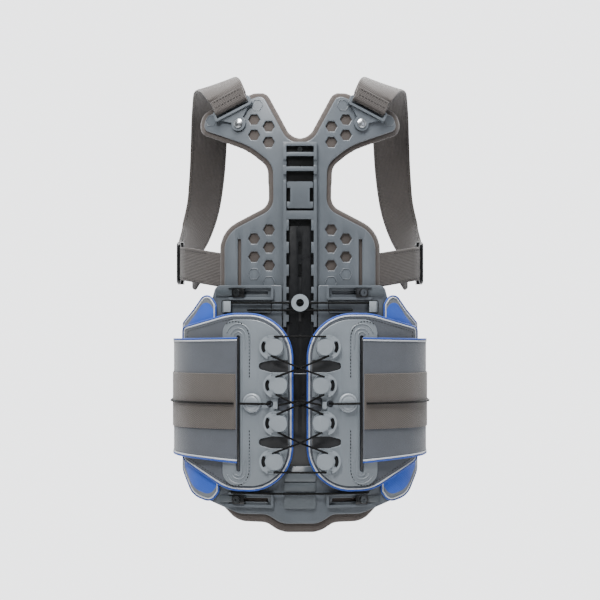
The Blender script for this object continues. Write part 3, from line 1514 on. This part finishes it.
@dataclass
class Belts:
    """Wrap-round belts with elastic bands, piping, the front pad and the closure."""

    low: tuple[float, float] = (79.0, 99.0)
    high: tuple[float, float] = (224.0, 216.0)
    off: tuple[float, float] = (19.1, 21.3)
    middle_off: float = 20.2
    slot_x: float = 72.4
    right_end_x: float = 1.0
    left_end_x: float = 44.0
    # Where the left belt steps down under the closure, and by how much.
    step_x: tuple[float, float] = (30.0, 12.0)
    step_drop: float = 2.5
    band_z: tuple[float, float] = (118, 182)
    # Each piping's name, distance from the edge, radius and finish.
    pipings: tuple = (("blue", 1.0, 1.05, BLUE_PIPING), ("white", 3.1, 1.0, WHITE_PIPING))
    cord_z: float = 148.0
    pad_corners: tuple = ((-66, 97, 18), (42, 97, 18), (42, 214, 18), (-66, 214, 18))
    tab_corners: tuple = ((0.6, 116, 8), (34, 116, 8), (34, 194, 8), (0.6, 194, 8))

    def build(self) -> None:
        """Make both belts and what is sewn to them."""
        for side, sign in SIDES:
            self.belt(side, sign)
        self.front_pad()

    def belt(self, side: str, sign: float) -> None:
        """Belt, elastic band, edge piping and outer pull cord of one side.

        Both heights change evenly with the distance from the slot, by the given amount as far as the
        right belt's end.

        Args:
            side: which side, right or left.
            sign: 1 for the right side and -1 for the left.
        """
        body = f"belt_{side}"
        start = TORSO.at(self.slot_x, self.middle_off)
        reach = TORSO.at(self.right_end_x, self.middle_off, True)
        full = 2 * TORSO.half_length - TORSO.at(self.left_end_x, 18.0, True)
        end = reach if sign > 0 else full
        rate = (end - start) / (reach - start)
        step = (0.0, 1.0, 0.0)
        if sign < 0:
            step = (*(TORSO.at(x, 19.0, True) for x in self.step_x), self.step_drop)
        low, high = ((z0, z0 + (z1 - z0) * rate) for z0, z1 in (self.low, self.high))
        shape = WrapBand(f"belt_fabric_{side}", start * sign, end * sign, low, high, self.off, steps=220,
                         step=step)
        finish_piece(shape.build(), BELT, body, [body])
        first, stop = TORSO.at(74.2, 22.0) * sign, TORSO.at(60.0, 22.0, True) * sign
        foot, top = self.band_z
        elastic = WrapBand(f"elastic_band_ribbed_{side}", first, stop, (foot, foot), (top, top),
                           (21.3, 22.6), steps=200)
        finish_piece(elastic.build(), ELASTIC, body, [f"elastic_band_{side}"])
        t = np.linspace(0, 1, 240)
        s = (start + (end - start) * t) * sign
        for label, drop, r, finish in self.pipings:
            for rim, (z0, z1), inward in (("top", shape.high_z, -1), ("foot", shape.low_z, 1)):
                z = z0 + (z1 - z0) * t + inward * drop
                path = TORSO.point(s, z, self.off[1] - 0.2 - shape.sink(s))
                obj = tube(f"belt_piping_{label}_{rim}_{side}", path, r * MM, sides=10)
                finish_piece(obj, finish, body)
        s = np.linspace(TORSO.at(76.8, 24.3) * sign, TORSO.at(68.0, 24.3, True) * sign, 260)
        path = TORSO.point(s, self.cord_z, 24.2)
        obj = tube(f"pull_cord_braid_{side}", path, Cords.pull_radius * MM, sides=12)
        finish_piece(obj, CORD, body, [f"pull_cord_outer_{side}"])

    def front_pad(self) -> None:
        """Abdominal pad behind the closure, and the hook tab on top."""
        outline = rounded_outline(self.pad_corners, 240)
        pad = PadShape("front_pad_foam", outline, 6.2, 16.3, edge=6.0, front=True, rings=30).build()
        finish_piece(pad, LINING, "belt_left", ["front_pad"])
        outline = rounded_outline(self.tab_corners, 160)
        tab = PadShape("closure_hook_tab", outline, 21.3, 22.9, edge=1.0, front=True, rings=20).build()
        finish_piece(tab, WEBBING, "belt_right", ["closure_tab"])


@dataclass
class Cords:
    """Lacing, pull and retention cords that the brace holds along their whole route."""

    radius: float = 1.15
    pull_radius: float = 1.3
    retention_radius: float = 1.25
    # Each lacing run's (x, z) at its guide and at the centre line.
    runs: tuple = (
        ((30.0, 225.2), (0.0, 225.2)), ((33.5, 203.4), (0.0, 188.9)), ((28.2, 178.8), (0.0, 188.9)),
        ((28.0, 159.0), (0.0, 145.0)), ((24.8, 146.6), (0.0, 152.0)), ((26.9, 136.0), (0.0, 147.9)),
        ((25.5, 115.6), (0.0, 103.4)), ((32.0, 91.2), (0.0, 103.4)), ((30.5, 69.6), (0.0, 69.6)))
    crossing_gap: float = 2.2
    # Each retention cord's height, reach to a side and offset.
    held: tuple = ((263.8, 86.5, 13.7), (255.2, 60.8, 13.7), (44.4, 79.5, 14.4))

    def lacing(self) -> None:
        """Lacing runs from guide to guide, one half on each panel, in two layers where they cross."""
        for side, sign in SIDES:
            for i, ((x0, z0), (x1, z1)) in enumerate(self.runs):
                t = np.linspace(0, 1, 30)
                start = TORSO.point(TORSO.at(x0, 24.0), z0, 24.0)
                y = np.full(30, start[1]) - self.crossing_gap * MM * ((i + (sign > 0)) % 2) * t
                path = np.stack([(x0 + (x1 - x0) * t) * sign * MM, y, (z0 + (z1 - z0) * t) * MM], -1)
                obj = tube(f"lacing_run_{side}_{i}", path, self.radius * MM, sides=10)
                Finishes.dress(obj, CORD)
                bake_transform(obj)
                if i == 0:
                    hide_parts(f"lacing_cord_{side}")

    def pulls(self) -> None:
        """Inner stretch of each pull cord, rising from its hole and running over the knob to the belt."""
        for side, sign in SIDES:
            x = np.linspace(34.6, 69.4, 60)
            off = 24.2 - 6.0 * np.exp(-((x - x[0]) / 2.5) ** 2)
            path = TORSO.point(TORSO.along(x * sign, 24.2), Belts.cord_z, off)
            obj = tube(f"pull_cord_inner_braid_{side}", path, self.pull_radius * MM, sides=12)
            finish_piece(obj, CORD, f"lacing_panel_{side}", [f"pull_cord_inner_{side}"])

    def retention(self) -> None:
        """Two cords across the foot of the thoracic plate, and one over the lower adjusters."""
        for i, (z, reach, off) in enumerate(self.held):
            path = TORSO.point(TORSO.along(np.linspace(-reach, reach, 160), off), z, off)
            obj = tube(f"retention_cord_braid_{i}", path, self.retention_radius * MM, sides=12)
            finish_piece(obj, CORD, "lumbar_frame", ["retention_cords"] if i == 0 else [])

    def build(self) -> None:
        """Make every held cord."""
        self.lacing()
        self.pulls()
        self.retention()


@dataclass
class Studio:
    """Pale floor, backdrop, soft lights and the camera."""

    view_height: float = 0.267
    view_width: float = 0.69
    distance: float = 2.2
    back_y: float = -0.082
    sensor: float = 36.0
    dim: float = 0.12
    bright: float = 3.2
    floor_r: float = 1.8
    floor_z: float = -0.45
    # Each light's name, place, size, power and colour.
    lights: tuple = (("key", (-0.42, -0.95, 1.32), 0.34, 28.0, "#ffffff"),
                     ("fill", (2.0, -1.5, 0.7), 1.6, 12.0, "#eef3ff"),
                     ("top", (0.0, -0.3, 1.5), 0.8, 60.0, "#ffffff"),
                     ("rim", (0.6, 1.9, 1.5), 1.4, 30.0, "#ffffff"))

    def camera(self) -> None:
        """Camera square to the wearer's back."""
        data = bpy.data.cameras.new("camera")
        data.sensor_width = self.sensor
        data.lens = self.sensor * self.distance / self.view_width
        obj = bpy.data.objects.new("camera", data)
        obj.location = (0.0, self.back_y - self.distance, self.view_height)
        obj.rotation_euler = (math.pi / 2, 0.0, 0.0)
        bpy.context.scene.collection.objects.link(obj)
        bpy.context.scene.camera = obj

    def light(self, name: str, place: tuple[float, float, float], size: float, power: float,
              colour: str) -> None:
        """Square soft light aimed at the brace's middle.

        Args:
            name: the light's name.
            place: its place in metres.
            size: its side in metres.
            power: its power in watts.
            colour: its colour as an sRGB hex value.
        """
        data = bpy.data.lights.new(name, "AREA")
        data.size = size
        data.energy = power
        data.color = linear(colour)[:3]
        obj = bpy.data.objects.new(name, data)
        obj.location = place
        aim = Vector((0.0, 0.0, 0.25)) - Vector(place)
        obj.rotation_euler = aim.to_track_quat("-Z", "Y").to_euler()
        bpy.context.scene.collection.objects.link(obj)

    def backdrop(self) -> None:
        """Round floor and a world that is bright in front of the wearer and dim behind the camera."""
        turn = np.linspace(0, 2 * math.pi, 97)[:-1]
        rim = np.stack([self.floor_r * np.cos(turn), self.floor_r * np.sin(turn),
                        np.full(96, self.floor_z)], -1)
        verts = np.concatenate([rim, [[0.0, 0.0, self.floor_z]]])
        j = np.arange(96)
        faces = np.stack([j, (j + 1) % 96, np.full(96, 96), np.full(96, 96)], -1)
        floor = make_mesh("floor", verts, faces, smooth=False)
        g = Graph(bpy.data.materials.new("matt_floor_paint"))
        g.set(Base_Color=linear("#f2f2f2"), Roughness=0.9)
        floor.data.materials.append(g.owner)
        world = bpy.data.worlds.new("studio")
        g = Graph(world, "Background")
        ahead = g.add("SeparateXYZ", Vector=g.add("TexCoord").outputs["Generated"]).outputs["Y"]
        glow = g.add("MapRange", {"interpolation_type": "SMOOTHSTEP"}, Value=ahead, From_Min=-0.2,
                     From_Max=0.8, To_Min=self.dim, To_Max=self.bright)
        g.set(Color=linear("#f8f9fb"), Strength=glow.outputs["Result"])
        bpy.context.scene.world = world

    def build(self) -> None:
        """Set up the studio."""
        self.camera()
        self.backdrop()
        for light in self.lights:
            self.light(*light)


def main() -> None:
    """Build the brace's looks in order."""
    logging.basicConfig(level=logging.INFO, format="%(name)s: %(message)s")
    Studio().build()
    RigidParts().dress()
    ShellDetails().build()
    Linings().build()
    ShoulderHarness().build()
    SideWings().build()
    LacingPanels().build()
    Belts().build()
    Cords().build()


if __name__ == "__main__":
    main()
